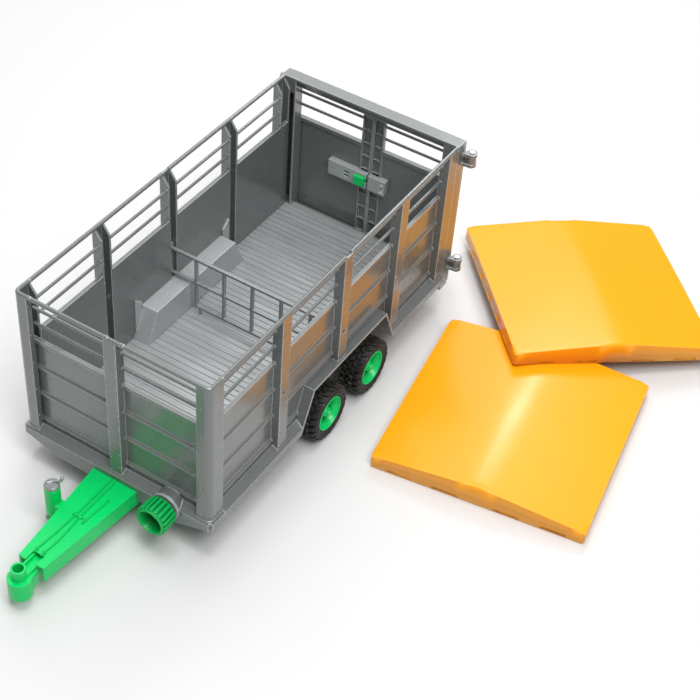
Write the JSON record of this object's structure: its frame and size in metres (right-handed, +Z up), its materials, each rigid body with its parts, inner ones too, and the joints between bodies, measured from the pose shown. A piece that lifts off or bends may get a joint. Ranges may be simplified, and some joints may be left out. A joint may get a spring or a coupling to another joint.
{
  "type": "toy livestock trailer",
  "caption": "Toy livestock trailer with slatted sides, rear doors, dividing gate, tandem wheels that lower, drawbar with jockey leg, and a lift-off roof in two halves.",
  "frame": {"origin": "middle of the hitch eye's upright bore", "axes": "+X forward along the drawbar, +Y to the trailer's left, +Z up"},
  "size_m": [0.666, 0.4131, 0.1745],
  "materials": {
    "body_plastic": "satin, silver-grey with a fine metallic fleck",
    "floor_plastic": "satin light grey",
    "dark_plastic": "matt dark grey",
    "green_plastic": "glossy",
    "roof_plastic": "satin orange",
    "tyre_rubber": "matt black",
    "steel": "bright",
    "light_plastic": "satin light grey"
  },
  "bodies": {
    "trailer": {"floor_pan": "floor_plastic", "chassis": "dark_plastic", "front_wall": "body_plastic", "side_wall_left": "body_plastic", "side_wall_right": "body_plastic", "rear_frame": "body_plastic", "wheel_box_left": "floor_plastic", "wheel_box_right": "floor_plastic", "gear_cover": "floor_plastic", "knob_bearing": "light_plastic", "drawbar": "green_plastic", "drawbar_hoses": "green_plastic", "hitch_tongue": "green_plastic", "jockey_sleeve": "green_plastic", "guide_pins": "steel", "hinge_pins_left": "steel", "hinge_pins_right": "steel", "chassis_screws": "steel"},
    "carriage": {"axle_carriage": "dark_plastic", "lowering_rack": "dark_plastic", "axle_rod_front": "steel", "axle_rod_rear": "steel"},
    "knob": {"lowering_knob": "green_plastic", "lowering_shaft": "steel"},
    "leg": {"jockey_leg": "light_plastic"},
    "crank": {"jockey_crank": "light_plastic"},
    "door_left": {"door_left": "body_plastic", "keeper_housing": "light_plastic", "bolt_keeper": "steel"},
    "bolt": {"door_bolt": "green_plastic"},
    "door_right": {"door_right": "body_plastic", "bolt_guide": "light_plastic"},
    "gate": {"divider_gate": "light_plastic"},
    "roof_near": {"roof_near": "roof_plastic"},
    "roof_far": {"roof_far": "roof_plastic"},
    "wheel_front_left": {"tyre_front_left": "tyre_rubber", "rim_front_left": "green_plastic", "hub_cap_front_left": "green_plastic"},
    "wheel_front_right": {"tyre_front_right": "tyre_rubber", "rim_front_right": "green_plastic", "hub_cap_front_right": "green_plastic"},
    "wheel_rear_left": {"tyre_rear_left": "tyre_rubber", "rim_rear_left": "green_plastic", "hub_cap_rear_left": "green_plastic"},
    "wheel_rear_right": {"tyre_rear_right": "tyre_rubber", "rim_rear_right": "green_plastic", "hub_cap_rear_right": "green_plastic"}
  },
  "joints": [
    {"name": "axle_lowering", "type": "slide", "parent": "trailer", "child": "carriage", "axis": [0, 0, 1], "range_m": [0, 0.009]},
    {"name": "knob_turn", "type": "hinge", "parent": "trailer", "child": "knob", "pos_m": [-0.1, 0.048, 0.0105], "axis": [1, 0, 0], "range_deg": [0, 90]},
    {"name": "wheel_spin_front_left", "type": "hinge", "parent": "carriage", "child": "wheel_front_left", "pos_m": [-0.265, 0.083, 0.0015], "axis": [0, 1, 0], "continuous": true},
    {"name": "wheel_spin_front_right", "type": "hinge", "parent": "carriage", "child": "wheel_front_right", "pos_m": [-0.265, -0.083, 0.0015], "axis": [0, 1, 0], "continuous": true},
    {"name": "wheel_spin_rear_left", "type": "hinge", "parent": "carriage", "child": "wheel_rear_left", "pos_m": [-0.329, 0.083, 0.0015], "axis": [0, 1, 0], "continuous": true},
    {"name": "wheel_spin_rear_right", "type": "hinge", "parent": "carriage", "child": "wheel_rear_right", "pos_m": [-0.329, -0.083, 0.0015], "axis": [0, 1, 0], "continuous": true},
    {"name": "door_left_swing", "type": "hinge", "parent": "trailer", "child": "door_left", "pos_m": [-0.4646, 0.092, 0.0765], "axis": [0, 0, -1], "range_deg": [0, 65]},
    {"name": "door_right_swing", "type": "hinge", "parent": "trailer", "child": "door_right", "pos_m": [-0.4646, -0.092, 0.0765], "axis": [0, 0, 1], "range_deg": [0, 260]},
    {"name": "door_bolt_slide", "type": "slide", "parent": "door_right", "child": "bolt", "axis": [0, 1, 0], "range_m": [0, 0.006]},
    {"name": "gate_lift", "type": "slide", "parent": "trailer", "child": "gate", "axis": [0, 0, 1], "range_m": [0, 0.135]},
    {"name": "jockey_leg_wind", "type": "slide", "parent": "trailer", "child": "leg", "axis": [0, 0, -1], "range_m": [0, 0.0095]},
    {"name": "jockey_crank_turn", "type": "hinge", "parent": "trailer", "child": "crank", "pos_m": [-0.067, -0.025, 0.0245], "axis": [0, 0, 1], "range_deg": [0, 720]},
    {"name": "roof_near_pull_away", "type": "slide", "parent": "trailer", "child": "roof_near", "axis": [0.9888, 0.1495, 0], "range_m": [0, 0.2]},
    {"name": "roof_far_lift", "type": "slide", "parent": "trailer", "child": "roof_far", "axis": [0, 0, 1], "range_m": [0, 0.2]}
  ],
  "couplings": [
    {"joint": "knob_turn", "follows": "axle_lowering", "rad_per_m": 174.53},
    {"joint": "jockey_crank_turn", "follows": "jockey_leg_wind", "rad_per_m": 1322.8}
  ]
}
